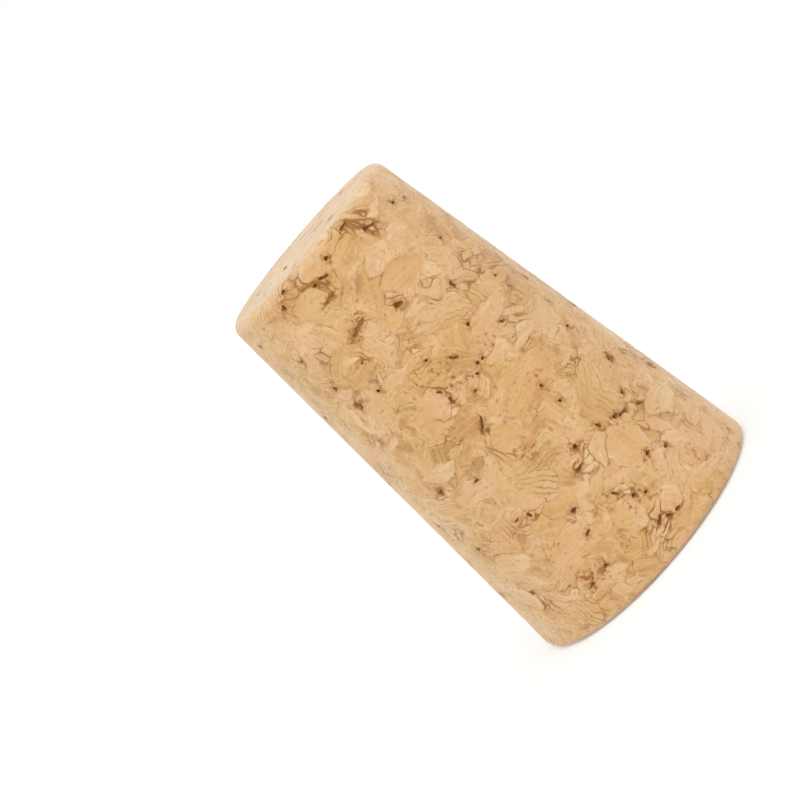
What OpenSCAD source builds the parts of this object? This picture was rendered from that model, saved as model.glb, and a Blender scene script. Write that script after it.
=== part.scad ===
// Tapered cork stopper, ground from a block of agglomerated (granulated) cork.
// It stands on its wide face at z = 0 and narrows towards +Z. Its front is -Y.

/* [Body] */
// Diameter of the wide end, where the side would meet the face
wide_d = 23; // [19:0.5:30]
// Diameter of the narrow end, where the side would meet the face
narrow_d = 17; // [12:0.5:18.5]
// Length, from face to face
body_h = 35.5; // [25:0.5:50]

/* [Rims] */
// Radius of the worn rim of the wide end
wide_round = 0.6; // [0.2:0.1:1.5]
// Radius of the worn rim of the narrow end
narrow_round = 0.9; // [0.2:0.1:1.5]

/* [Voids] */
// Depth of the deepest voids between granules
void_depth = 0.8; // [0.4:0.1:1.2]
// Share of its width that a void keeps at its floor
void_floor = 0.5; // [0.3:0.05:0.8]
// Length of the shortest void that is scattered over the back and the ends
void_short = 0.35; // [0.3:0.05:0.6]
// Length of the longest void that is scattered over the back and the ends
void_long = 1.4; // [0.8:0.1:2]
// Voids in each square centimetre of the back and the ends
void_density = 4; // [1:0.5:6]
// Draw of the scattered voids
void_draw = 7; // [1:1:50]

/* [Hidden] */
$fn = 96;
cork = [0.86, 0.70, 0.50];

// The side leans in by this angle, and a void is cut square to it.
lean_in = atan((wide_d - narrow_d) / 2 / body_h);
// A void's cutter starts this far outside the skin.
proud = 0.3;
// A void is no deeper than this many times its width.
void_slim = 2.5;
// The front turns away from -Y by this angle, both ways. Behind it the voids are scattered.
front_turn = 66;
// Scattered voids keep this share of the length or radius clear, next to the rims.
rim_clear = 0.04;
// A gap's cusps are drawn out by this: 0 is an ellipse, 1 is sharp.
blunt = 0.6;
// The edges of a slit stray by this share of its width.
slit_rag = 0.3;
// Golden ratio less one: steps of it never bunch.
golden = 0.618034;

// Kinds of void.
GAP = 0;     // the three-cornered gap where round granules meet
SLIT = 1;    // the slit between two long granules, pointed at both ends
POCKET = 2;  // the ragged hollow of a lost crumb

// Voids of the front, each chosen by hand:
// [turn about Z in degrees, height as a share of body_h, length, width, lean in degrees, kind]
front_voids = [
    // next to the narrow end
    [-26, 0.985, 0.6, 0.22, 10, SLIT],
    [2, 0.965, 0.55, 0.35, 20, POCKET],
    [-32, 0.96, 0.6, 0.5, 60, GAP],
    [20, 0.98, 1.3, 0.2, 5, SLIT],
    [-12, 0.945, 0.55, 0.3, 0, POCKET],
    [-6, 0.945, 1.1, 0.25, -25, SLIT],
    [27, 0.94, 0.9, 0.45, -10, GAP],
    [31, 0.935, 0.8, 0.2, -15, SLIT],
    [51, 0.925, 0.6, 0.22, -15, SLIT],
    [61, 0.91, 0.55, 0.25, 0, POCKET],
    [-12, 0.905, 2.4, 0.2, 8, SLIT],
    // upper half
    [-50, 0.855, 0.5, 0.22, -10, SLIT],
    [-14, 0.82, 2.6, 0.35, 17, SLIT],
    [51, 0.8, 0.4, 0.2, -10, POCKET],
    [7, 0.79, 0.95, 0.65, -15, GAP],
    [-47, 0.765, 0.5, 0.4, 10, GAP],
    [-25, 0.765, 0.45, 0.25, 0, POCKET],
    [32, 0.73, 0.5, 0.35, 60, POCKET],
    [32, 0.72, 0.45, 0.35, 20, POCKET],
    [-45, 0.71, 0.5, 0.4, -30, POCKET],
    [-44, 0.7, 0.55, 0.45, -70, POCKET],
    [-30, 0.7, 0.5, 0.2, -50, SLIT],
    [-4, 0.67, 0.4, 0.25, -20, POCKET],
    [53, 0.66, 0.55, 0.25, -20, GAP],
    [21, 0.65, 0.5, 0.35, 15, GAP],
    [5, 0.63, 1.1, 0.22, -40, SLIT],
    [-11, 0.605, 0.8, 0.22, -60, SLIT],
    [33, 0.595, 0.7, 0.3, -15, GAP],
    [10, 0.585, 0.4, 0.28, -10, POCKET],
    [13, 0.582, 0.4, 0.25, 10, POCKET],
    [-10, 0.575, 1.0, 0.22, 85, SLIT],
    [6, 0.57, 0.3, 0.3, 0, POCKET],
    [0, 0.55, 0.4, 0.3, 20, GAP],
    [63, 0.53, 0.5, 0.25, -20, POCKET],
    // lower half
    [-9, 0.495, 1.7, 0.28, 50, SLIT],
    [55, 0.47, 0.7, 0.28, -20, GAP],
    [-48, 0.45, 0.5, 0.4, 40, GAP],
    [20, 0.45, 0.55, 0.3, -80, POCKET],
    [-30, 0.42, 0.5, 0.2, 0, SLIT],
    [20, 0.4, 0.45, 0.35, 30, GAP],
    [55, 0.36, 0.95, 0.8, 70, GAP],
    [54, 0.35, 0.6, 0.45, 0, POCKET],
    [9, 0.315, 0.5, 0.4, 30, GAP],
    [22, 0.305, 0.9, 0.28, -65, SLIT],
    [-59, 0.3, 0.6, 0.28, 30, SLIT],
    [42, 0.3, 0.6, 0.4, 50, GAP],
    [-31, 0.3, 0.9, 0.2, 0, SLIT],
    [-25, 0.29, 0.6, 0.25, 80, SLIT],
    [30, 0.285, 0.65, 0.45, 20, GAP],
    [34, 0.275, 1.4, 0.25, -15, SLIT],
    [3, 0.28, 1.2, 0.35, 10, GAP],
    [43, 0.255, 0.9, 0.22, -40, SLIT],
    [-11, 0.23, 0.8, 0.45, 15, GAP],
    [-14, 0.175, 1.0, 0.24, 25, SLIT],
    [26, 0.185, 0.7, 0.35, 0, POCKET],
    [34, 0.16, 0.5, 0.38, 40, GAP],
    [5, 0.185, 1.2, 0.22, -50, SLIT],
    [9, 0.155, 0.45, 0.4, 0, POCKET],
    [-54, 0.155, 0.7, 0.25, -50, SLIT],
    [13, 0.14, 0.5, 0.25, -20, POCKET],
    [-19, 0.1, 0.55, 0.3, -30, GAP],
    [-29, 0.09, 0.8, 0.22, 10, SLIT],
    [8, 0.08, 1.1, 0.32, 30, SLIT],
    [12, 0.07, 1.0, 0.24, -50, SLIT],
    [16, 0.065, 0.8, 0.22, 0, SLIT]
];

// Radius of the tapered side at a height
function side_r(z) = (wide_d + (narrow_d - wide_d) * z / body_h) / 2;

// Outline of a gap: the three-cornered curve between three round granules, its cusps worn blunt
function gap_outline(long, wide) =
    [for (t = [0:40:320])
        [long * (2 * cos(t) + blunt * cos(2 * t)), wide * (2 * sin(t) - blunt * sin(2 * t))] / 4.2];

// Outline of a slit: two ragged edges that part from point to point
function slit_outline(long, wide, draw) =
    let (rag = rands(-slit_rag, slit_rag, 8, draw))
    [for (k = [0:7])
        let (u = cos(k * 45), side = k == 0 || k == 4 ? 0 : k < 4 ? 1 : -1)
        [u * long / 2, wide * (side * (1 - 0.6 * u * u) / 2 + rag[k])]];

// Outline of a pocket: a ring of uneven corners
function pocket_outline(long, wide, draw) =
    let (corners = 6, reach = rands(0.75, 1.1, corners, draw))
    [for (k = [0:corners - 1])
        reach[k] / 2 * [long * cos(k * 360 / corners), wide * sin(k * 360 / corners)]];

function void_outline(long, wide, kind, draw) =
    kind == GAP ? gap_outline(long, wide)
    : kind == SLIT ? slit_outline(long, wide, draw)
    : pocket_outline(long, wide, draw);

// A void's cutter: its outline is at z = proud, and its floor below the skin at z = 0
module void_cutter(long, wide, lean, kind, draw) {
    depth = min(void_depth, void_slim * wide);
    translate([0, 0, proud])
        rotate(lean)
            mirror([0, 0, 1])
                linear_extrude(depth + proud, scale = void_floor)
                    polygon(void_outline(long, wide, kind, draw));
}

// Puts a cutter on the side, square to it
module on_side(turn, share)
    rotate(turn)
        translate([0, -side_r(share * body_h), share * body_h])
            rotate([90 - lean_in, 0, 0])
                children();

// Puts a cutter on an end face, at a share of its radius
module on_narrow_face(turn, share)
    rotate(turn) translate([share * narrow_d / 2, 0, body_h]) children();

module on_wide_face(turn, share)
    rotate(turn) translate([share * wide_d / 2, 0, 0]) rotate([180, 0, 0]) children();

// A scattered void: most are short, and the kinds take turns by chance
module scattered_void(draw) {
    r = rands(0, 1, 4, draw);
    long = void_short + (void_long - void_short) * r[0] * r[0];
    kind = floor(r[1] * 3);
    slim = kind == SLIT ? 0.25 : 0.6;
    void_cutter(long, max(0.2, slim * long * (0.7 + 0.5 * r[2])), 180 * r[3], kind, draw);
}

// Voids of the back, spread evenly by golden steps round the cork
module back_voids() {
    area_cm2 = PI * (wide_d + narrow_d) / 2 * body_h / 100;
    back_share = 1 - front_turn / 180;
    count = round(area_cm2 * back_share * void_density);
    for (k = [0:count - 1])
        on_side(front_turn + 2 * (180 - front_turn) * ((k * golden) % 1),
                rim_clear + (1 - 2 * rim_clear) * (k + 0.5) / count)
            scattered_void(void_draw + k);
}

// Voids of an end face, spread like the seeds of a sunflower
module end_voids(face_d, draw) {
    count = round(PI * face_d * face_d / 400 * void_density);
    for (k = [0:count - 1]) {
        $turn = 360 * golden * k;
        $share = (1 - 3 * rim_clear) * sqrt((k + 0.5) / count);
        $draw = draw + k;
        children();
    }
}

// Half outline of the body, with a true arc at each rim
module body_profile() {
    wide_x = side_r(wide_round) - wide_round / cos(lean_in);
    narrow_z = body_h - narrow_round;
    narrow_x = side_r(narrow_z) - narrow_round / cos(lean_in);
    side = [cos(lean_in), sin(lean_in)];
    polygon([
        [0, 0],
        [wide_x, 0],
        [wide_x, wide_round],
        [wide_x, wide_round] + wide_round * side,
        [narrow_x, narrow_z] + narrow_round * side,
        [narrow_x, narrow_z],
        [narrow_x, body_h],
        [0, body_h]
    ]);
    translate([wide_x, wide_round]) circle(wide_round);
    translate([narrow_x, narrow_z]) circle(narrow_round);
}

// The whole stopper is one piece: a turned body less the voids that open in its skin
module cork_stopper() {
    color(cork)
        difference() {
            rotate_extrude() body_profile();
            for (k = [0:len(front_voids) - 1]) {
                v = front_voids[k];
                on_side(v[0], v[1]) void_cutter(v[2], v[3], v[4], v[5], void_draw + k);
            }
            back_voids();
            end_voids(narrow_d, 100 + void_draw)
                on_narrow_face($turn, $share) scattered_void($draw);
            end_voids(wide_d, 200 + void_draw)
                on_wide_face($turn, $share) scattered_void($draw);
        }
}

cork_stopper();
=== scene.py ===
import math

import bmesh
import bpy
import numpy as np
from mathutils import Matrix, Vector, noise
from mathutils.kdtree import KDTree


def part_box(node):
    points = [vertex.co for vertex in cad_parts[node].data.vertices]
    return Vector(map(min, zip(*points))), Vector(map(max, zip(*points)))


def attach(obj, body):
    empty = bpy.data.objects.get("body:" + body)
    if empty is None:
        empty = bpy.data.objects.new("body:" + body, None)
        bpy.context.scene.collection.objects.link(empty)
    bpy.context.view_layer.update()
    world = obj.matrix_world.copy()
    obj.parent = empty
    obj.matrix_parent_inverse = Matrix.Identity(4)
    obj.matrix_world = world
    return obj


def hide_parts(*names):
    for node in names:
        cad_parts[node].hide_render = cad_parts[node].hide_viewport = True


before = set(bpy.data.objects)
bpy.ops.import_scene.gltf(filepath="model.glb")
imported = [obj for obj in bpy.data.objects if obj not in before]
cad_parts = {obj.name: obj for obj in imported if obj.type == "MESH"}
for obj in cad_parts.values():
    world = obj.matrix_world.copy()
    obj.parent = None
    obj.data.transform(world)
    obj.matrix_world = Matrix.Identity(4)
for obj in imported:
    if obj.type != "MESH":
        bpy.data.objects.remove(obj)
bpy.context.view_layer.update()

# ---- The stopper ----------------------------------------------------------------------------
# One piece of agglomerated cork: granules of bark, 1 to 6 mm across, pressed into a block with
# a little binder and ground to a taper. Grinding leaves the skin nearly flat, with a faint step
# from one granule to the next and open voids where granules didn't meet.

TO_M = 0.001                            # the piece is worked in millimetres
LOW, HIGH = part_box("cork_stopper")
LENGTH = (HIGH - LOW).z / TO_M
WIDE_D, NARROW_D = 23.0, 17.0           # where the side would meet each end face
WIDE_RIM, NARROW_RIM = 0.6, 0.9         # radii of the worn rims
LEAN_IN = math.atan((WIDE_D - NARROW_D) / 2 / LENGTH)
VOXEL = 0.23                            # edge of the skin's squares
TURN_STEPS, RIM_STEPS = 240, 8          # steps round the axis and round a rim
SAME_POINT = 0.0005                     # points nearer than this are one


def side_radius(z):
    """Radius of the tapered side at a height."""
    return (WIDE_D + (NARROW_D - WIDE_D) * z / LENGTH) / 2


def rim_centre(z, rim):
    """Centre of the arc that rounds a rim, in the plane of the axis."""
    return Vector((side_radius(z) - rim / math.cos(LEAN_IN), z))


def below_skin(place):
    """How deep a place lies under the ground surface, as if there were no voids."""
    r, z = math.hypot(place.x, place.y), place.z
    depth = min((side_radius(z) - r) * math.cos(LEAN_IN), z, LENGTH - z)
    for centre, rim, way in ((WIDE_ARC, WIDE_RIM, -1), (NARROW_ARC, NARROW_RIM, 1)):
        out = Vector((r, z)) - centre
        if way * out.y > way * out.x * math.tan(LEAN_IN) and out.x > 0:
            depth = min(depth, rim - out.length)
    return depth


def as_mesh(piece):
    """Applies a piece's modifiers."""
    graph = bpy.context.evaluated_depsgraph_get()
    made = bpy.data.meshes.new_from_object(piece.evaluated_get(graph))
    piece.modifiers.clear()
    piece.data = made


WIDE_ARC = rim_centre(WIDE_RIM, WIDE_RIM)
NARROW_ARC = rim_centre(LENGTH - NARROW_RIM, NARROW_RIM)
outline = [Vector((0, 0))]
for centre, rim, first, last in ((WIDE_ARC, WIDE_RIM, -math.pi / 2, LEAN_IN),
                                 (NARROW_ARC, NARROW_RIM, LEAN_IN, math.pi / 2)):
    for k in range(RIM_STEPS + 1):
        angle = first + (last - first) * k / RIM_STEPS
        outline.append(centre + rim * Vector((math.cos(angle), math.sin(angle))))
outline.append(Vector((0, LENGTH)))

turned = bmesh.new()
points = [turned.verts.new((p.x, 0, p.y)) for p in outline]
edges = [turned.edges.new(pair) for pair in zip(points, points[1:])]
bmesh.ops.spin(turned, geom=points + edges, axis=(0, 0, 1), cent=(0, 0, 0), dvec=(0, 0, 0),
               angle=2 * math.pi, steps=TURN_STEPS, use_merge=True)
bmesh.ops.remove_doubles(turned, verts=turned.verts, dist=SAME_POINT)
bmesh.ops.recalc_face_normals(turned, faces=turned.faces)
skin = bpy.data.meshes.new("cork")
turned.to_mesh(skin)
turned.free()
cork = bpy.data.objects.new("cork", skin)
bpy.context.collection.objects.link(cork)
squares = cork.modifiers.new("squares", "REMESH")
squares.mode = "VOXEL"
squares.voxel_size = VOXEL
as_mesh(cork)

# The voids: the cups that the CAD solid has under its skin, closed above the skin and crumbled.
VOID_FACE = 0.05                        # a face that reaches deeper than this is a void's
PROUD = 0.3                             # how far a cutter stands over the skin
CRUMB, CRUMB_SIZE = 0.07, 0.3           # how far and how often a void's wall strays
CRUMB_SEED, CRUMB_VOXEL = 5, 0.1        # its draw, and the edge of the wall's squares
WORN = 0.03                             # how much crumbling widens a void
SHORT, LONG = 1.2, 2.3                  # lengths of a short void and of a long one
FILLED, CHOKED = 0.35, 0.6              # shares of their depth that crumbs fill


def skin_normal(place):
    """The way out of the ground surface at a place."""
    r = math.hypot(place.x, place.y)
    if min(place.z, LENGTH - place.z) < side_radius(place.z) - r:
        return Vector((0, 0, math.copysign(1, place.z - LENGTH / 2)))
    return Vector((place.x / r, place.y / r, math.tan(LEAN_IN))).normalized()


voids = bmesh.new()
voids.from_mesh(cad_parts["cork_stopper"].data)
bmesh.ops.transform(voids, matrix=Matrix.Scale(1 / TO_M, 4), verts=voids.verts)
bmesh.ops.remove_doubles(voids, verts=voids.verts, dist=SAME_POINT)
deep = {v: below_skin(v.co) > VOID_FACE for v in voids.verts}
ground = [f for f in voids.faces if not any(deep[v] for v in f.verts)]
bmesh.ops.delete(voids, geom=ground, context="FACES")
cups, loose = [], set(voids.faces)
for first in voids.faces:
    if first in loose:
        loose.discard(first)
        cup = [first]
        for face in cup:
            for beside in (f for e in face.edges for f in e.link_faces if f in loose):
                loose.discard(beside)
                cup.append(beside)
        cups.append(cup)
for cup in cups:
    rim = [loop for face in cup for loop in face.loops if loop.edge.is_boundary]
    rim = [(loop.link_loop_next.vert, loop.vert) for loop in rim]
    length = max((one.co - two.co).length for one, _ in rim for two, _ in rim)
    share = min(max((length - SHORT) / (LONG - SHORT), 0), 1)
    share = FILLED + (CHOKED - FILLED) * share
    for v in {v for face in cup for v in face.verts if deep[v]}:
        v.co += share * below_skin(v.co) * skin_normal(v.co)
    middle = sum((v.co for _, v in rim), Vector()) / len(rim)
    out = skin_normal(middle)
    top = voids.verts.new(middle + (below_skin(middle) + PROUD) * out)
    lids = {v: voids.verts.new(v.co + PROUD * skin_normal(v.co)) for _, v in rim}
    for one, two in rim:
        voids.faces.new((one, two, lids[two], lids[one]))
        voids.faces.new((lids[one], lids[two], top))
cutter = bpy.data.objects.new("voids", bpy.data.meshes.new("voids"))
voids.to_mesh(cutter.data)
voids.free()
bpy.context.collection.objects.link(cutter)
closed = cutter.modifiers.new("closed", "REMESH")
closed.mode = "VOXEL"
closed.voxel_size = CRUMB_VOXEL
as_mesh(cutter)
noise.seed_set(CRUMB_SEED)
for v in cutter.data.vertices:
    v.co += CRUMB * noise.noise_vector(v.co / CRUMB_SIZE) + WORN * v.normal
cut = cork.modifiers.new("cut", "BOOLEAN")
cut.operation = "DIFFERENCE"
cut.solver = "EXACT"
cut.object = cutter
as_mesh(cork)
bpy.data.objects.remove(cutter)

# The granules. The relief and the colour of the cork both follow them, so one function finds
# them, in the tree that it is given.
BIG, SMALL, LAYER = 4.6, 2.1, 1.1       # breadth of whole and broken granules and of a layer
LAYERED_BELOW, BROKEN_ABOVE = 0.28, 0.55    # shares of the whole granules, from their draw
LAYER_DRAW = (0.3, 0.7)                 # sets the draw of a layer apart from its granule's
PRESSED = 1.55                          # granules lie flat across the length
STRAY, STRAY_SIZE = 1.3, 3.2            # how far and how often outlines bend
RAGGED, RAGGED_SIZE = 0.2, 1.0          # the same for their ragged edges
PLACED_RAGGED, PLACED_GROWN = 1.8, 1.1  # placed granules are more ragged, so laid larger
RING_AWAY = 7.0                         # how far off a granule's growth rings may centre
RING_BEND = 0.3                         # how far growth rings share in bends and ragged edges
FAR = 9.0                               # an edge distance that loses against any other
PLUMP = 1.4                             # flakes from lens shaped, 1, to elliptical, 2
FLAKE_RING = 5.0                        # radius of their growth rings
WAIT = 1e-6                             # weight of one granule in the place of the next
# flakes: how far apart, radius, half the thickness, and a shift that keeps them from lining up
FLAKES = ((4.8, 2.5, 1.15, 31.0), (3.6, 1.8, 0.75, 57.0), (2.7, 1.3, 0.5, 83.0))
# Granules in their places round the front: turn and height of the middle, half the length and
# breadth, lean, tone, how lined and how strongly seamed it is, and the lean and the radius of
# its growth rings.
PLACED = (
    (0, 27.9, 1.0, 1.0, -74, 0.45, 0.20, 0.3, -74, 9),
    (7, 25.2, 1.0, 0.6, 62, 0.85, 0.20, 0.2, 62, 9),
    (12, 23.3, 1.2, 1.3, 63, 0.42, 0.15, 0.7, 63, 9),
    (-5, 24.3, 1.1, 0.3, -8, 1.00, 0.10, 0.1, -8, 9),
    (-20, 24.6, 1.3, 0.5, -8, 1.00, 0.10, 0.2, -8, 9),
    (18, 31.3, 1.4, 0.7, 21, 0.88, 0.45, 0.3, 21, 9),
    (32, 27.7, 0.7, 0.6, -59, 0.95, 0.10, 0.1, -59, 9),
    (22, 29.2, 2.1, 1.1, -13, 0.25, 0.45, 0.3, -13, 9),
    (10, 25.8, 1.5, 0.2, 2, 0.95, 0.30, 0.4, 2, 9),
    (-16, 27.7, 0.6, 0.5, -33, 0.95, 0.10, 0.2, -33, 9),
    (50, 18.5, 1.8, 1.0, 40, 0.97, 0.05, 0.1, 40, 9),
    (37, 16.3, 0.7, 0.6, 75, 0.30, 0.20, 0.2, 75, 9),
    (6, 17.5, 1.3, 0.8, -18, 0.50, 0.30, 1.0, -18, 9),
    (5, 16.9, 1.3, 0.3, -3, 0.90, 0.30, 0.3, -3, 9),
    (20, 19.8, 1.2, 0.5, -12, 0.95, 0.10, 0.2, -12, 9),
    (20, 21.1, 0.8, 0.2, 16, 0.05, 0.50, 0.4, 16, 5),
    (25, 14.9, 0.8, 0.5, -20, 0.90, 0.40, 0.3, -20, 4),
    (-1, 8.8, 1.3, 0.4, 12, 0.78, 0.50, 0.5, 12, 9),
    (24, 8.0, 1.6, 1.6, -87, 0.68, 0.10, 0.5, -87, 9),
    (22, 11.5, 0.9, 0.3, -44, 0.97, 0.10, 0.2, -44, 9),
    (26, 4.2, 1.3, 0.8, 51, 0.90, 0.80, 0.4, 51, 9),
    (17, 3.2, 0.8, 0.9, -51, 0.95, 0.10, 1.0, -51, 9),
    (40, 3.4, 1.0, 0.5, -39, 0.10, 0.30, 0.2, -39, 9),
    (2, 4.8, 1.4, 1.1, -46, 0.87, 0.10, 0.4, -46, 9),
    (4, 8.4, 1.4, 0.4, 32, 0.35, 0.30, 0.3, 32, 9),
    (-40, 1.9, 1.7, 1.1, -20, 0.75, 1.00, 0.5, -51, 2.6),
    (-8, 1.7, 1.2, 0.7, -32, 0.30, 0.40, 0.3, -32, 9),
    (-22, 1.4, 0.8, 0.4, -33, 0.95, 0.10, 0.3, -33, 9),
    (-31, 1.2, 0.6, 0.4, 87, 0.40, 0.40, 1.0, 87, 1),
    (-49, 8.3, 1.5, 1.0, -16, 1.00, 0.10, 0.1, -16, 9),
    (-23, 8.7, 1.4, 0.9, -28, 0.40, 0.15, 0.5, -28, 9),
    (-30, 7.2, 0.6, 0.5, -45, 0.10, 0.90, 0.6, -45, 0.8),
    (-19, 6.4, 1.1, 0.6, 4, 0.83, 0.10, 0.5, 4, 9),
    (-8, 3.3, 0.9, 0.6, -32, 0.10, 0.40, 0.5, -32, 3),
    (-13, 9.0, 1.3, 0.8, -18, 0.35, 0.20, 0.3, -18, 9),
    (-20, 10.8, 1.1, 0.6, -22, 0.88, 0.20, 0.5, -22, 9),
    (-62, 2.4, 1.9, 0.5, 4, 0.45, 1.00, 0.4, 4, 9),
    (-16, 21.2, 1.3, 1.1, -18, 0.82, 0.15, 0.6, -18, 9),
    (-7, 15.6, 1.1, 1.0, -17, 0.50, 0.15, 0.2, -17, 9),
    (-16, 18.2, 1.3, 0.9, -10, 0.12, 0.40, 0.4, -10, 5),
    (-29, 15.6, 1.9, 0.4, -4, 0.08, 0.85, 0.4, -4, 12),
    (-36, 14.4, 1.9, 0.9, -8, 0.97, 0.10, 0.3, -8, 9),
    (-24, 13.7, 1.3, 0.5, 48, 0.80, 0.90, 0.4, 48, 9),
    (-13, 11.7, 1.9, 1.0, -30, 0.55, 1.00, 0.5, -30, 4),
    (-42, 10.9, 1.1, 0.7, -25, 0.50, 1.00, 0.6, -54, 0.9),
    (-2, 12.2, 1.1, 0.6, -16, 0.15, 0.90, 0.5, -16, 3),
    (-6, 13.4, 0.9, 0.4, -14, 0.75, 0.60, 1.0, -14, 3),
    (-40, 17.3, 1.6, 0.8, -11, 0.97, 0.10, 0.2, -11, 9),
    (-21, 32.9, 1.3, 1.0, -5, 0.45, 0.10, 0.3, -5, 9),
    (-39, 32.4, 1.9, 0.7, -15, 0.97, 0.10, 0.3, -15, 9),
    (-35, 28.3, 1.3, 0.5, 27, 0.22, 0.40, 0.3, 27, 9),
    (36, 31.4, 1.1, 0.6, -9, 0.85, 0.20, 0.3, -9, 9),
    (43, 29.1, 1.5, 0.4, -36, 0.35, 0.30, 0.3, -36, 9),
    (16, 9.7, 1.5, 0.6, 45, 0.80, 0.15, 0.5, 45, 9),
    (-24, 13.9, 2.0, 0.7, 52, 0.90, 0.60, 0.5, 52, 9),
    (-1, 22.2, 2.5, 1.2, -30, 0.22, 0.75, 0.7, -30, 9),
    (38, 12.3, 3.3, 2.0, 13, 0.50, 0.75, 0.3, 78, 2),
    (17, 17.0, 2.9, 1.6, 3, 0.42, 0.35, 1.0, 3, 9),
    (39, 5.5, 1.2, 0.8, -40, 0.88, 0.10, 0.8, -40, 9),
    (-22, 6.3, 2.3, 1.2, -7, 0.72, 0.10, 0.5, -7, 9),
    (9, 33.3, 1.4, 0.9, 16, 0.28, 0.20, 0.3, 16, 9),
    (16, 25.3, 2.5, 1.1, -23, 0.62, 0.75, 0.5, -23, 9),
    (53, 1.5, 1.2, 0.3, 1, 0.10, 0.90, 0.6, 1, 5),
    (40, 1.9, 1.7, 0.6, -11, 0.90, 0.30, 0.5, -11, 9),
    (32, 22.5, 2.2, 0.9, -3, 0.80, 0.40, 0.4, -3, 9),
    (-62, 5.4, 1.8, 0.9, -43, 0.85, 0.45, 0.8, -43, 9),
    (54, 7.7, 2.3, 1.1, -6, 0.85, 0.40, 0.4, -6, 9),
)


# kinds of node
number, vector, spread = "ShaderNodeMath", "ShaderNodeVectorMath", "ShaderNodeMapRange"
mix, grains, cells = "ShaderNodeMix", "ShaderNodeTexNoise", "ShaderNodeTexVoronoi"
white, apart = "ShaderNodeTexWhiteNoise", "ShaderNodeSeparateXYZ"


def add(tree, kind, *values, **named):
    """Adds a node. Lower-case names are settings. The values fill its sockets in order, and
    capitalised names fill them by name. A node given as a value stands for its first output."""
    node = tree.nodes.new(kind)
    for name in [name for name in named if name[0].islower()]:
        setattr(node, name, named.pop(name))
    sockets = [socket for socket in node.inputs if socket.enabled]
    given = list(zip(sockets, values))
    for name, value in named.items():
        name = name.replace("_", " ")
        given.append((next(socket for socket in sockets if socket.name == name), value))
    for socket, value in given:
        if isinstance(value, bpy.types.Node):
            value = next(output for output in value.outputs if output.enabled)
        if isinstance(value, bpy.types.NodeSocket):
            tree.links.new(value, socket)
        else:
            socket.default_value = value
    return node


def on_front(turn, z):
    """Place on the side and the ways round, up and out from it."""
    turn = math.radians(turn)
    out = Vector((math.sin(turn), -math.cos(turn), 0))
    across = Vector((math.cos(turn), math.sin(turn), 0))
    return out * side_radius(z) + Vector((0, 0, z)), across, Vector((0, 0, 1)), out


def lay_granule(kind):
    """A node group that lays one more granule, a lentil, over those found so far."""
    group = bpy.data.node_groups.new("lay_granule", kind)
    kept = (("Edge", "Float"), ("Traits", "Vector"), ("Ring", "Float"), ("Bulge", "Vector"))
    own = (("Place", "Vector"), ("Ring place", "Vector"), ("Middle", "Vector"),
           ("Axis", "Vector"), ("Ring centre", "Vector"), ("Own traits", "Vector"),
           ("Radius", "Float"), ("Half thickness", "Float"))
    for name, sort in kept:
        group.interface.new_socket(name, in_out="OUTPUT", socket_type="NodeSocket" + sort)
    for name, sort in kept + own:
        group.interface.new_socket(name, in_out="INPUT", socket_type="NodeSocket" + sort)
    given = group.nodes.new("NodeGroupInput").outputs
    # A granule waits for the one before it, or Cycles, which has room for 255 values, would
    # work on all at once.
    place, ring_place = [add(group, vector, given["Traits"], (WAIT,) * 3, given[name],
                             operation="MULTIPLY_ADD") for name in ("Place", "Ring place")]
    off = add(group, vector, place, given["Middle"], operation="SUBTRACT")
    up = add(group, vector, off, given["Axis"], operation="DOT_PRODUCT").outputs["Value"]
    thick = add(group, number, up, given["Half thickness"], operation="DIVIDE")
    thick = add(group, number, thick, operation="ABSOLUTE")
    thick = add(group, number, thick, PLUMP, operation="POWER")
    wide = add(group, vector, off, off, operation="DOT_PRODUCT").outputs["Value"]
    wide = add(group, number, wide, add(group, number, up, up, operation="MULTIPLY"),
               operation="SUBTRACT")
    square = add(group, number, given["Radius"], given["Radius"], operation="MULTIPLY")
    wide = add(group, number, wide, square, operation="DIVIDE")
    edge = add(group, number, 1.0, add(group, number, thick, wide), operation="SUBTRACT")
    edge = add(group, number, edge, given["Half thickness"], operation="MULTIPLY")
    inside = add(group, number, edge, 0.0, operation="GREATER_THAN")
    edge = add(group, number, edge, operation="ABSOLUTE")
    outer = add(group, number, edge, given["Edge"], operation="MINIMUM")
    ring = add(group, vector, ring_place, given["Ring centre"], operation="DISTANCE")
    bulge = add(group, vector, off, operation="SCALE",
                Scale=add(group, number, 1.0, given["Radius"], operation="DIVIDE"))
    result = group.nodes.new("NodeGroupOutput")
    for name, before, after, sort in (
            ("Edge", outer, edge, "FLOAT"),
            ("Traits", given["Traits"], given["Own traits"], "VECTOR"),
            ("Ring", given["Ring"], ring.outputs["Value"], "FLOAT"),
            ("Bulge", given["Bulge"], bulge, "VECTOR")):
        chosen = add(group, mix, inside, before, after, data_type=sort)
        chosen = next(output for output in chosen.outputs if output.enabled)
        group.links.new(chosen, result.inputs[name])
    return group


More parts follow.
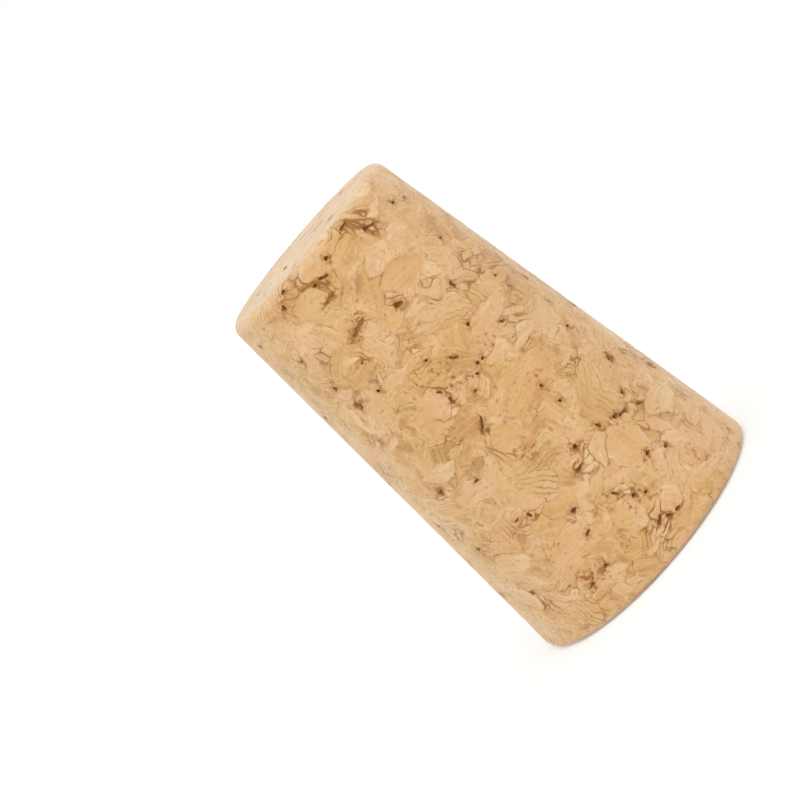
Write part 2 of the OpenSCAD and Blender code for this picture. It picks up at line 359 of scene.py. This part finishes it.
def granules(tree, place):
    """The granule at a place in mm: distance to its edge, its traits (tone, lined, seamed), the
    distance from the centre of its growth rings and the way out from its middle, as sockets."""
    group_kind = tree.bl_idname.replace("Tree", "Group")
    group = lay_granule(tree.bl_idname)

    ring_place = place
    bends = []
    for reach, size in ((STRAY, STRAY_SIZE), (RAGGED, RAGGED_SIZE)):
        bend = add(tree, grains, place, normalize=False, Scale=1 / size, Detail=1.0)
        bend = bend.outputs["Color"]
        place = add(tree, vector, bend, (reach,) * 3, place, operation="MULTIPLY_ADD")
        bends.append(bend)
    ring_place = add(tree, vector, bends[0], (RING_BEND * STRAY,) * 3, ring_place,
                     operation="MULTIPLY_ADD")
    true_place = add(tree, vector, bends[1], (PLACED_RAGGED * RAGGED,) * 3, ring_place,
                     operation="MULTIPLY_ADD")
    ring_place = add(tree, vector, bends[1], (RING_BEND * RAGGED,) * 3, ring_place,
                     operation="MULTIPLY_ADD")

    # blocky granules, whole or broken, some of them in layers
    pressed = add(tree, vector, place, (1, 1, PRESSED), operation="MULTIPLY")
    whole = add(tree, cells, pressed, Scale=1 / BIG)
    broken = add(tree, cells, pressed, Scale=1 / SMALL)
    draw = add(tree, apart, whole.outputs["Color"]).outputs["X"]
    is_broken = add(tree, number, draw, BROKEN_ABOVE, operation="GREATER_THAN")
    is_layered = add(tree, number, draw, LAYERED_BELOW, operation="LESS_THAN")
    seed = add(tree, mix, is_broken, whole.outputs["Color"], broken.outputs["Color"],
               data_type="VECTOR")
    middle = add(tree, mix, is_broken, whole.outputs["Position"],
                 broken.outputs["Position"], data_type="VECTOR")
    middle = add(tree, vector, middle, (1, 1, 1 / PRESSED), operation="MULTIPLY")
    away = add(tree, vector, seed, (0.5,) * 3, operation="SUBTRACT")
    centre = add(tree, vector, away, (2 * RING_AWAY,) * 3, middle, operation="MULTIPLY_ADD")
    bulge = add(tree, vector, place, middle, operation="SUBTRACT")
    bulge = add(tree, vector, bulge, operation="SCALE",
                Scale=add(tree, mix, is_broken, 2 / BIG, 2 / SMALL))
    ring = add(tree, vector, ring_place, centre, operation="DISTANCE").outputs["Value"]
    layer = add(tree, number, ring, LAYER, operation="DIVIDE")
    index = add(tree, number, layer, operation="FLOOR")
    index = add(tree, number, index, is_layered, operation="MULTIPLY")
    seed = add(tree, vector, seed, add(tree, "ShaderNodeCombineXYZ", index, *LAYER_DRAW))
    traits = add(tree, white, seed, noise_dimensions="3D").outputs["Color"]
    layer_edge = add(tree, number, layer, 0.5, operation="PINGPONG")
    layer_edge = add(tree, number, layer_edge, LAYER, operation="MULTIPLY")
    edge = add(tree, cells, pressed, feature="DISTANCE_TO_EDGE", Scale=1 / BIG)
    edge = add(tree, number, edge, BIG, operation="MULTIPLY")
    broken_edge = add(tree, cells, pressed, feature="DISTANCE_TO_EDGE", Scale=1 / SMALL)
    broken_edge = add(tree, number, broken_edge, SMALL, operation="MULTIPLY")
    for is_so, its_edge in ((is_broken, broken_edge), (is_layered, layer_edge)):
        other = add(tree, mix, is_so, FAR, its_edge)
        edge = add(tree, number, edge, other, operation="MINIMUM")
    found = {"Edge": edge, "Traits": traits, "Ring": ring, "Bulge": bulge}

    # flakes scattered over them
    for size, radius, half_thickness, shift in FLAKES:
        at = add(tree, vector, pressed, (shift,) * 3)
        flake = add(tree, cells, at, Scale=1 / size)
        middle = add(tree, vector, flake.outputs["Position"], (shift,) * 3,
                     operation="SUBTRACT")
        middle = add(tree, vector, middle, (1, 1, 1 / PRESSED), operation="MULTIPLY")
        axis = add(tree, vector, flake.outputs["Color"], (0.5,) * 3, operation="SUBTRACT")
        axis = add(tree, vector, axis, (1, 1, PRESSED), operation="MULTIPLY")
        axis = add(tree, vector, axis, operation="NORMALIZE")
        centre = add(tree, vector, axis, (FLAKE_RING,) * 3, middle, operation="MULTIPLY_ADD")
        own = add(tree, white, flake.outputs["Color"], noise_dimensions="3D").outputs["Color"]
        found = add(tree, group_kind, node_tree=group, Place=place, Ring_place=ring_place,
                    Middle=middle, Axis=axis, Ring_centre=centre, Own_traits=own,
                    Radius=radius, Half_thickness=half_thickness, **found).outputs
        found = {name: found[name] for name in ("Edge", "Traits", "Ring", "Bulge")}

    for turn, z, long, broad, lean, tone, lined, seamed, ring_lean, ring_radius in PLACED:
        at, across, above, out = on_front(turn, z)
        lean, ring_lean = math.radians(lean), math.radians(ring_lean)
        upright = above * math.cos(lean) - across * math.sin(lean)
        growth = above * math.cos(ring_lean) - across * math.sin(ring_lean)
        found = add(tree, group_kind, node_tree=group, Place=true_place, Ring_place=ring_place,
                    Middle=at, Axis=upright, Ring_centre=at - growth * ring_radius,
                    Own_traits=(tone, lined, seamed), Radius=PLACED_GROWN * long,
                    Half_thickness=PLACED_GROWN * broad, **found).outputs
        found = {name: found[name] for name in ("Edge", "Traits", "Ring", "Bulge")}
    return found["Edge"], found["Traits"], found["Ring"], found["Bulge"]


# The relief: grinding leaves each granule a little proud or shy, with a soft groove round it.
GROUND, STEP = 0.006, 0.022             # least sink, and the range of a granule's own sink
GROOVE, GROOVE_WIDE = 0.018, 0.3        # depth of the groove, and its reach from the seam
FADE_FROM, FADE_TO = 0.05, 0.25         # depths in a void between which the relief ends
SHARP = 50                              # degrees from which an edge is crisp
depths = cork.data.attributes.new("depth", "FLOAT", "POINT")
for v in cork.data.vertices:
    depths.data[v.index].value = below_skin(v.co)

# Stains of the bark's brown lining: turn, height, reach and strength.
UNSTAINED = -0.22                       # the strength far from all of them
STAIN_GROWN = 1.7                       # a stain fades out at this many times its reach
STAINS = (
    (8, 11.2, 0.50, 1.0),
    (4, 10.5, 0.45, 0.9),
    (10, 5.6, 0.45, 1.0),
    (5, 5.0, 0.30, 0.5),
    (4, 6.6, 0.30, 0.6),
    (7, 6.2, 0.30, 0.5),
    (-28, 3.8, 0.60, 1.3),
    (-22, 3.4, 0.50, 1.2),
    (-30, 2.8, 0.35, 0.9),
    (-3, 21.2, 0.50, 0.8),
    (20, 15.9, 0.22, 0.7),
    (23, 17.0, 0.35, 0.5),
    (56, 16.8, 0.35, 0.5),
    (20, 21.0, 0.35, 0.5),
    (-22, 18.1, 0.35, 0.6),
    (-21, 18.9, 0.30, 0.7),
    (-25, 18.8, 0.25, 0.6),
    (40, 3.4, 0.55, 0.5),
    (26, 6.5, 0.40, 0.7),
    (23, 6.3, 0.30, 0.5),
    (-7, 3.5, 0.40, 0.6),
    (-29, 7.3, 0.45, 0.5),
    (-12, 23.6, 0.40, 0.5),
    (-6, 22.4, 0.50, 0.55),
    (-1, 22.3, 0.45, 0.5),
    (2, 20.6, 0.35, 0.5),
    (-10, 29.5, 0.45, 0.7),
    (-17, 29.0, 0.35, 0.6),
    (61, 32.4, 0.25, 0.5),
    (-6, 13.5, 0.45, 0.4),
    (47, 7.4, 0.35, 0.5),
    (43, 9.0, 0.40, 0.6),
    (30, 10.1, 0.35, 0.7),
    (27, 10.4, 0.30, 0.6),
    (-9, 17.8, 0.30, 0.5),
    (27, 33.4, 0.35, 0.6),
    (26, 33.7, 0.30, 0.6),
    (2, 34.2, 0.25, 0.6),
    (-11, 33.5, 0.30, 0.6),
    (-7, 33.7, 0.30, 0.5),
    (-31, 34.3, 0.30, 0.6),
)
mouths = KDTree(len(cork.data.vertices))
for v in cork.data.vertices:
    if depths.data[v.index].value > VOID_FACE:
        mouths.insert(v.co, v.index)
mouths.balance()
near = cork.data.attributes.new("near_void", "FLOAT", "POINT")
for v in cork.data.vertices:
    near.data[v.index].value = mouths.find(v.co)[2]
stains = cork.data.attributes.new("stain", "FLOAT", "POINT")
at_points = np.empty(len(cork.data.vertices) * 3, dtype=np.float32)
cork.data.vertices.foreach_get("co", at_points)
stained = np.full(len(cork.data.vertices), UNSTAINED, dtype=np.float32)
for turn, z, reach, strength in STAINS:
    off = np.linalg.norm(at_points.reshape(-1, 3) - np.array(on_front(turn, z)[0]), axis=1)
    stained = np.maximum(stained, strength * (1 - off / (STAIN_GROWN * reach)))
stains.data.foreach_set("value", stained)

relief = bpy.data.node_groups.new("granule_relief", "GeometryNodeTree")
for name, kind, way in (("Geometry", "NodeSocketGeometry", "INPUT"),
                        ("Ground", "NodeSocketFloat", "INPUT"),
                        ("Step", "NodeSocketFloat", "INPUT"),
                        ("Groove", "NodeSocketFloat", "INPUT"),
                        ("Groove width", "NodeSocketFloat", "INPUT"),
                        ("Material", "NodeSocketMaterial", "INPUT"),
                        ("Geometry", "NodeSocketGeometry", "OUTPUT")):
    relief.interface.new_socket(name, in_out=way, socket_type=kind)
given = relief.nodes.new("NodeGroupInput").outputs
edge, traits, _, _ = granules(relief, add(relief, "GeometryNodeInputPosition"))
level = add(relief, number, add(relief, apart, traits).outputs["X"], given["Step"],
            given["Ground"], operation="MULTIPLY_ADD")
groove = add(relief, spread, edge, 0.0, given["Groove width"], given["Groove"], 0.0,
             interpolation_type="SMOOTHSTEP")
sink = add(relief, number, level, groove)
depth = add(relief, "GeometryNodeInputNamedAttribute", "depth", data_type="FLOAT")
fade = add(relief, spread, depth, FADE_FROM, FADE_TO, 1.0, 0.0,
           interpolation_type="SMOOTHSTEP")
sink = add(relief, number, sink, fade, operation="MULTIPLY")
inwards = add(relief, vector, add(relief, "GeometryNodeInputNormal"), operation="SCALE",
              Scale=add(relief, number, sink, -1.0, operation="MULTIPLY"))
moved = add(relief, "GeometryNodeSetPosition", given["Geometry"], Offset=inwards)
moved = add(relief, "GeometryNodeRealizeInstances", moved)
moved = add(relief, "GeometryNodeSetMaterial", moved, Material=given["Material"])
relief.links.new(moved.outputs[0], relief.nodes.new("NodeGroupOutput").inputs[0])


def paint(code):
    """An sRGB hex colour as linear values."""
    parts = [int(code[i:i + 2], 16) / 255 for i in (1, 3, 5)]
    return (*[p / 12.92 if p <= 0.04045 else ((p + 0.055) / 1.055) ** 2.4 for p in parts], 1)


# Agglomerated cork, ground and left bare: granules from brown to pale straw, each with the
# fine grain and now and then the growth rings of the bark, thin brown seams, a dull surface.
# Painted shade darkens the seams, their gaping cores, the voids and the ground round them and
# one side of each granule; painted highlight pales the granules' edges and the narrow end.
# Widths and scales are in millimetres. A range is mapped to a range, as its four numbers say.
ground_cork = bpy.data.materials.new("ground_agglomerated_cork")
ground_cork.use_nodes = True
tree = ground_cork.node_tree
tree.nodes.clear()
place = add(tree, vector, add(tree, "ShaderNodeTexCoord").outputs["Object"],
            (1 / TO_M,) * 3, operation="MULTIPLY")
edge, traits, ring, bulge = granules(tree, place)
lean = add(tree, vector, traits, (0.5,) * 3, operation="SUBTRACT")
traits = add(tree, apart, traits)

# noise that varies the seams, their gaping and more besides
SEAM_SIZE, GAPE_SIZE, FRAY = 3.0, 0.8, 0.09
seam_noise = add(tree, grains, place, normalize=False, Scale=1 / SEAM_SIZE, Detail=3.0)
gape_noise = add(tree, grains, place, normalize=False, Scale=1 / GAPE_SIZE, Detail=2.0)
frayed = add(tree, number, gape_noise, FRAY, edge, operation="MULTIPLY_ADD")

# fine grain and two sizes of bands, all of them long and narrow, along the growth rings
ALONG, ACROSS = 1.8, 0.19
BAND_ALONG, BAND_ACROSS = 6.0, 0.52
BROAD_ALONG, BROAD_ACROSS = 5.0, 1.3
grain = add(tree, grains, noise_dimensions="4D", normalize=False, Vector=place,
            Scale=1 / ALONG, Detail=2.0,
            W=add(tree, number, ring, ALONG / ACROSS, operation="MULTIPLY"))
band = add(tree, grains, noise_dimensions="4D", normalize=False, Vector=place,
           Scale=1 / BAND_ALONG, Detail=1.0,
           W=add(tree, number, ring, BAND_ALONG / BAND_ACROSS, operation="MULTIPLY"))

# the ring lines, which show in some granules only, and fade in and out
RING_GAP, RING_WIDE, RING_WAVE, RING_UNEVEN, RING_DARK = 0.46, 0.17, 2.0, 0.1, 0.8
LINED, FAINT = (0.5, 0.95, 0.02, 1.0), (-0.4, 0.2, 0.35, 1.0)
RING_BROWN = "#A07A48"
lined = add(tree, spread, traits.outputs["Y"], *LINED, interpolation_type="SMOOTHSTEP")
line = add(tree, number, ring, 1 / RING_GAP, operation="MULTIPLY")
line = add(tree, number, seam_noise, RING_WAVE, line, operation="MULTIPLY_ADD")
line = add(tree, number, line, 0.5, operation="PINGPONG")
line = add(tree, number, gape_noise, RING_UNEVEN, line, operation="MULTIPLY_ADD")
line = add(tree, spread, line, 0.0, RING_WIDE, 1.0, 0.0, interpolation_type="SMOOTHSTEP")
line = add(tree, number, line, lined, operation="MULTIPLY")
line = add(tree, number, line, add(tree, spread, seam_noise, *FAINT), operation="MULTIPLY")
broad_band = add(tree, grains, noise_dimensions="4D", normalize=False, Vector=place,
                 Scale=1 / BROAD_ALONG, Detail=1.0,
                 W=add(tree, number, ring, BROAD_ALONG / BROAD_ACROSS, operation="MULTIPLY"))

# the tone of each granule, evened out at its edge, then all that varies it, painted shading of
# each granule's lean among them
TONES = ((0.0, "#C4935A"), (0.2, "#D2A267"), (0.45, "#DAAC72"), (0.7, "#DFB37E"),
         (0.85, "#E0B387"), (1.0, "#E6C08D"))
DARKEST, PALEST = 0.18, 0.86
EVEN_TONE, EVEN_SHARE, EVEN_WIDE = 0.55, 0.6, 0.35
ONE_SIDED_SHADE, DRIFT_SIZE = 0.42, 6.0
GRAIN_SHARE, BAND_SHARE, BROAD_SHARE, DRIFT_SHARE = 0.3, 0.16, 0.27, 0.3
soft_edge = add(tree, spread, edge, 0.0, EVEN_WIDE, EVEN_SHARE, 0.0,
                interpolation_type="SMOOTHSTEP")
tone = add(tree, spread, traits.outputs["X"], 0.0, 1.0, DARKEST, PALEST)
tone = add(tree, mix, soft_edge, tone, EVEN_TONE)
tone = add(tree, number, broad_band, BROAD_SHARE, tone, operation="MULTIPLY_ADD")
# painted shade and light: each granule lighter on one side and darker on the other, the side
# drawn at random, as if its lean were lit; partly the tone of its own grain
across = add(tree, vector, bulge, lean, operation="DOT_PRODUCT").outputs["Value"]
tone = add(tree, number, across, ONE_SIDED_SHADE, tone, operation="MULTIPLY_ADD")
tone = add(tree, number, band, BAND_SHARE, tone, operation="MULTIPLY_ADD")
tone = add(tree, number, grain, GRAIN_SHARE, tone, operation="MULTIPLY_ADD")
drift = add(tree, grains, place, normalize=False, Scale=1 / DRIFT_SIZE, Detail=1.0)
tone = add(tree, number, drift, DRIFT_SHARE, tone, operation="MULTIPLY_ADD")
tones = add(tree, "ShaderNodeValToRGB")
while len(tones.color_ramp.elements) < len(TONES):
    tones.color_ramp.elements.new(0.5)
for element, (at, code) in zip(tones.color_ramp.elements, TONES):
    element.position, element.color = at, paint(code)
tree.links.new(tone.outputs[0], tones.inputs[0])
colour = add(tree, mix, add(tree, number, line, RING_DARK, operation="MULTIPLY"),
             tones.outputs["Color"], paint(RING_BROWN), data_type="RGBA")

# some granules rosier, some greener, as their traits say
PLAIN, ROSY, HUES = (0.986, 1.014, 1.0), (0.056, -0.056, 0.0), (3.1, 5.7, 7.3)
hue = add(tree, vector, lean, HUES, operation="DOT_PRODUCT").outputs["Value"]
hue = add(tree, number, hue, 0.5, operation="PINGPONG")
hue = add(tree, vector, ROSY, operation="SCALE", Scale=hue)
colour = add(tree, vector, colour, add(tree, vector, hue, PLAIN), operation="MULTIPLY")

# seams: a thin brown line of varied strength at each edge, partly their own brown and partly
# painted shade of the groove, stronger beside a void and in granules whose traits say so
SEAM_WIDE, SEAM_BESIDE = 0.19, 0.3
BESIDE, SEAM, SEAMED = (0.1, 1.0, 1.0, 0.0), (0.02, 0.52, 0.0, 0.8), (0.0, 1.0, 0.4, 1.5)
SEAM_AND_SHADE_BROWN = "#9E6825"
beside = add(tree, "ShaderNodeAttribute", attribute_name="near_void").outputs["Fac"]
beside = add(tree, spread, beside, *BESIDE, interpolation_type="SMOOTHSTEP")
seam_and_shade = add(tree, spread, frayed, 0.0, SEAM_WIDE, 1.0, 0.0, interpolation_type="SMOOTHSTEP")
strength = add(tree, spread, seam_noise, *SEAM)
strength = add(tree, number, beside, SEAM_BESIDE, strength, operation="MULTIPLY_ADD")
seam_and_shade = add(tree, number, seam_and_shade, strength, operation="MULTIPLY")
seamed = add(tree, spread, traits.outputs["Z"], *SEAMED)
seam_and_shade = add(tree, number, seam_and_shade, seamed, operation="MULTIPLY", use_clamp=True)
colour = add(tree, mix, seam_and_shade, colour, paint(SEAM_AND_SHADE_BROWN), data_type="RGBA")

# painted shade: the dark cores of the seams that gape, where an open crack would lie in shade;
# the cracks are drawn in colour, not cut
GAPE_BESIDE, GAPE_CORE, GAPE = 0.2, (0.02, 0.14, 1.0, 0.0), (0.3, 0.55, 0.0, 0.85)
GAPE_SHADE_BROWN = "#78420A"
gape_shade = add(tree, number, beside, GAPE_BESIDE, gape_noise, operation="MULTIPLY_ADD")
gape_shade = add(tree, spread, gape_shade, *GAPE)
gape_shade = add(tree, number, gape_shade, add(tree, spread, frayed, *GAPE_CORE), operation="MULTIPLY")
colour = add(tree, mix, gape_shade, colour, paint(GAPE_SHADE_BROWN), data_type="RGBA")

# painted highlight: a pale line inside the edge, where a granule stands proud and would catch
# the light
HIGHLIGHT_OUTER, HIGHLIGHT_INNER = (0.05, 0.13, 0.0, 1.0), (0.15, 0.34, 1.0, 0.0)
HIGHLIGHT_PATCHY, HIGHLIGHT_STRAW = (0.0, -0.3, 0.0, 0.3), "#EFD2A6"
painted_highlight = add(tree, spread, edge, *HIGHLIGHT_OUTER, interpolation_type="SMOOTHSTEP")
painted_highlight = add(tree, number, painted_highlight, add(tree, spread, edge, *HIGHLIGHT_INNER,
           interpolation_type="SMOOTHSTEP"), operation="MULTIPLY")
painted_highlight = add(tree, number, painted_highlight, add(tree, spread, seam_noise, *HIGHLIGHT_PATCHY), operation="MULTIPLY")
colour = add(tree, mix, painted_highlight, colour, paint(HIGHLIGHT_STRAW), data_type="RGBA")

# the ends and the bands beside them are drawn paler than the side: at the narrow end a
# painted highlight on the rim and the face, at the wide end a fainter paling
NARROW_HIGHLIGHT, WIDE_END = (LENGTH - 0.8, LENGTH - 0.25, 0.0, 0.2), (0.9, 0.25, 0.0, 0.16)
END_STRAW = "#F2DFC0"
height = add(tree, apart, place).outputs["Z"]
end = add(tree, spread, height, *NARROW_HIGHLIGHT)
end = add(tree, number, end, add(tree, spread, height, *WIDE_END))
colour = add(tree, mix, end, colour, paint(END_STRAW), data_type="RGBA")

# the stains, and specks all round
STAIN_SIZE, STAIN_SHARE, STAIN = 0.3, 0.85, (0.33, 1.0, 0.0, 0.9)
STAIN_BROWN = "#A05A20"
stain_noise = add(tree, grains, place, normalize=False, Scale=1 / STAIN_SIZE, Detail=4.0)
stain = add(tree, "ShaderNodeAttribute", attribute_name="stain").outputs["Fac"]
stain = add(tree, number, stain, STAIN_SHARE, stain_noise, operation="MULTIPLY_ADD")
stain = add(tree, spread, stain, *STAIN)
colour = add(tree, mix, stain, colour, paint(STAIN_BROWN), data_type="RGBA")

# mottling, drawn at 0.3 because the cells of cork, 0.04 across, are too fine to show
MOTTLE_SIZE, MOTTLE = 0.3, (-1.0, 1.0, 1.08, 0.92)
mottle = add(tree, grains, place, normalize=False, Scale=1 / MOTTLE_SIZE, Detail=3.0)
shade = add(tree, spread, mottle, *MOTTLE)
colour = add(tree, vector, colour, shade, operation="MULTIPLY")

# brown round the voids: partly painted shade, partly the stains that gather there
HALO_REACH, HALO_PATCHY = (0.0, 0.5, 0.75, 0.0), (-0.25, 0.35, 0.15, 1.0)
HALO_STAIN_AND_SHADE_BROWN = "#A06214"
halo_stain_and_shade = add(tree, "ShaderNodeAttribute", attribute_name="near_void").outputs["Fac"]
halo_stain_and_shade = add(tree, spread, halo_stain_and_shade, *HALO_REACH, interpolation_type="SMOOTHSTEP")
halo_stain_and_shade = add(tree, number, halo_stain_and_shade, add(tree, spread, stain_noise, *HALO_PATCHY),
             operation="MULTIPLY")
colour = add(tree, mix, halo_stain_and_shade, colour, paint(HALO_STAIN_AND_SHADE_BROWN), data_type="RGBA")

# painted shade: the voids are drawn darker and browner as they go down, over the real shade
# of their depth
VOID_SHADE, VOID_SHADE_PATCHY, VOID_SHADE_BROWN = (0.04, 0.3, 0.0, 1.0), (-0.5, 0.4, 0.5, 1.0), "#B4772A"
depth = add(tree, "ShaderNodeAttribute", attribute_name="depth").outputs["Fac"]
deep = add(tree, spread, depth, *VOID_SHADE, interpolation_type="SMOOTHSTEP")
deep = add(tree, number, deep, add(tree, spread, gape_noise, *VOID_SHADE_PATCHY),
           operation="MULTIPLY")
colour = add(tree, mix, deep, colour, paint(VOID_SHADE_BROWN), data_type="RGBA")

# each granule leans a little and rounds off to its edge, and its cells roughen it
DOME_WIDE, DOME, FACET = 0.4, 0.08, 0.05
ROUGH_DEEP, DULL, SHEEN = 0.01, (-1.0, 1.0, 0.68, 0.84), "#FAF1E2"
dome = add(tree, spread, edge, 0.0, DOME_WIDE, DOME, 0.0, interpolation_type="SMOOTHSTEP")
dome = add(tree, vector, bulge, operation="SCALE", Scale=dome)
dome = add(tree, vector, lean, (FACET,) * 3, dome, operation="MULTIPLY_ADD")
dome = add(tree, "ShaderNodeVectorTransform", dome, vector_type="VECTOR",
           convert_from="OBJECT", convert_to="WORLD")
dome = add(tree, vector, dome, add(tree, "ShaderNodeNewGeometry").outputs["Normal"])
dome = add(tree, vector, dome, operation="NORMALIZE")
bump = add(tree, "ShaderNodeBump", Strength=0.5, Distance=ROUGH_DEEP * TO_M, Height=mottle,
           Normal=dome)
cork_surface = add(tree, "ShaderNodeBsdfPrincipled", Base_Color=colour,
                   Roughness=add(tree, spread, mottle, *DULL), Specular_IOR_Level=0.3,
                   Sheen_Weight=0.55, Sheen_Roughness=0.5, Sheen_Tint=paint(SHEEN),
                   Normal=bump)
add(tree, "ShaderNodeOutputMaterial", cork_surface)

live = cork.modifiers.new("relief", "NODES")
live.node_group = relief
for socket, value in (("Ground", GROUND), ("Step", STEP), ("Groove", GROOVE),
                      ("Groove width", GROOVE_WIDE), ("Material", ground_cork)):
    live[relief.interface.items_tree[socket].identifier] = value
as_mesh(cork)
for v in cork.data.vertices:
    v.co.z = min(max(v.co.z, 0), LENGTH)
cork.data.transform(Matrix.Scale(TO_M, 4))
cork.data.shade_smooth()
cork.data.set_sharp_from_angle(angle=math.radians(SHARP))
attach(cork, "root")
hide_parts("cork_stopper")

# ---- The studio -----------------------------------------------------------------------------
# A pale floor under the stopper, a white surround, one soft lamp, and the camera, which is
# rolled so that the standing stopper shows as a lying one.

FLOOR_REACH = 3                         # metres from the stopper to the floor's edges
FLOOR_GREY, FLOOR_GLOW = 0.8, 0.28      # the glow, which lights nothing, makes it look white
SURROUND = 0.93                         # strength of the surround as a light


def is_seen(tree):
    """1 for what the camera sees, straight or in something glossy or clear, otherwise 0."""
    rays = add(tree, "ShaderNodeLightPath").outputs
    seen = add(tree, number, rays["Is Camera Ray"], rays["Is Glossy Ray"], operation="MAXIMUM")
    return add(tree, number, seen, rays["Is Transmission Ray"], operation="MAXIMUM")


floor_mesh = bpy.data.meshes.new("floor")
floor_mesh.from_pydata([(x * FLOOR_REACH, y * FLOOR_REACH, 0)
                        for x, y in ((-1, -1), (1, -1), (1, 1), (-1, 1))],
                       [], [(0, 1, 2, 3)])
floor = bpy.data.objects.new("floor", floor_mesh)
bpy.context.collection.objects.link(floor)
floor_paint = bpy.data.materials.new("white_floor")
floor_paint.use_nodes = True
tree = floor_paint.node_tree
tree.nodes.clear()
glow = add(tree, number, is_seen(tree), FLOOR_GLOW, operation="MULTIPLY")
glow = add(tree, "ShaderNodeEmission", (1, 1, 1, 1), glow)
matt = add(tree, "ShaderNodeBsdfDiffuse", (*(FLOOR_GREY,) * 3, 1))
add(tree, "ShaderNodeOutputMaterial", add(tree, "ShaderNodeAddShader", matt, glow))
floor_mesh.materials.append(floor_paint)

world = bpy.data.worlds.new("surround")
bpy.context.scene.world = world
world.use_nodes = True
tree = world.node_tree
tree.nodes.clear()
strength = add(tree, mix, is_seen(tree), SURROUND, 1.0)
add(tree, "ShaderNodeOutputWorld", add(tree, "ShaderNodeBackground", (1, 1, 1, 1), strength))

LAMP_AT = Vector((10, -240, 260)) * TO_M
LAMP_AIM = Vector((0, 0, 18)) * TO_M
lamp = bpy.data.objects.new("key", bpy.data.lights.new("key", "AREA"))
bpy.context.collection.objects.link(lamp)
lamp.location = LAMP_AT
lamp.rotation_euler = (LAMP_AIM - LAMP_AT).to_track_quat("-Z", "Y").to_euler()
lamp.data.size = 0.2
lamp.data.energy = 0.22

CAMERA_AT = Vector((0, -212.01, 55.26)) * TO_M
CAMERA_AIM = Vector((-4.342, 0, 21.868)) * TO_M
CAMERA_UP = Vector((0.76194, 0.11597, 0.63718))
camera = bpy.data.objects.new("camera", bpy.data.cameras.new("camera"))
bpy.context.collection.objects.link(camera)
back = (CAMERA_AT - CAMERA_AIM).normalized()
right = CAMERA_UP.cross(back).normalized()
up = back.cross(right)
turn = Matrix((right, up, back)).transposed()
camera.matrix_world = Matrix.Translation(CAMERA_AT) @ turn.to_4x4()
camera.data.sensor_width = 36
camera.data.lens = 124.74
camera.data.clip_start = 0.01
bpy.context.scene.camera = camera
bpy.context.scene.view_settings.view_transform = "Standard"

bpy.context.view_layer.update()
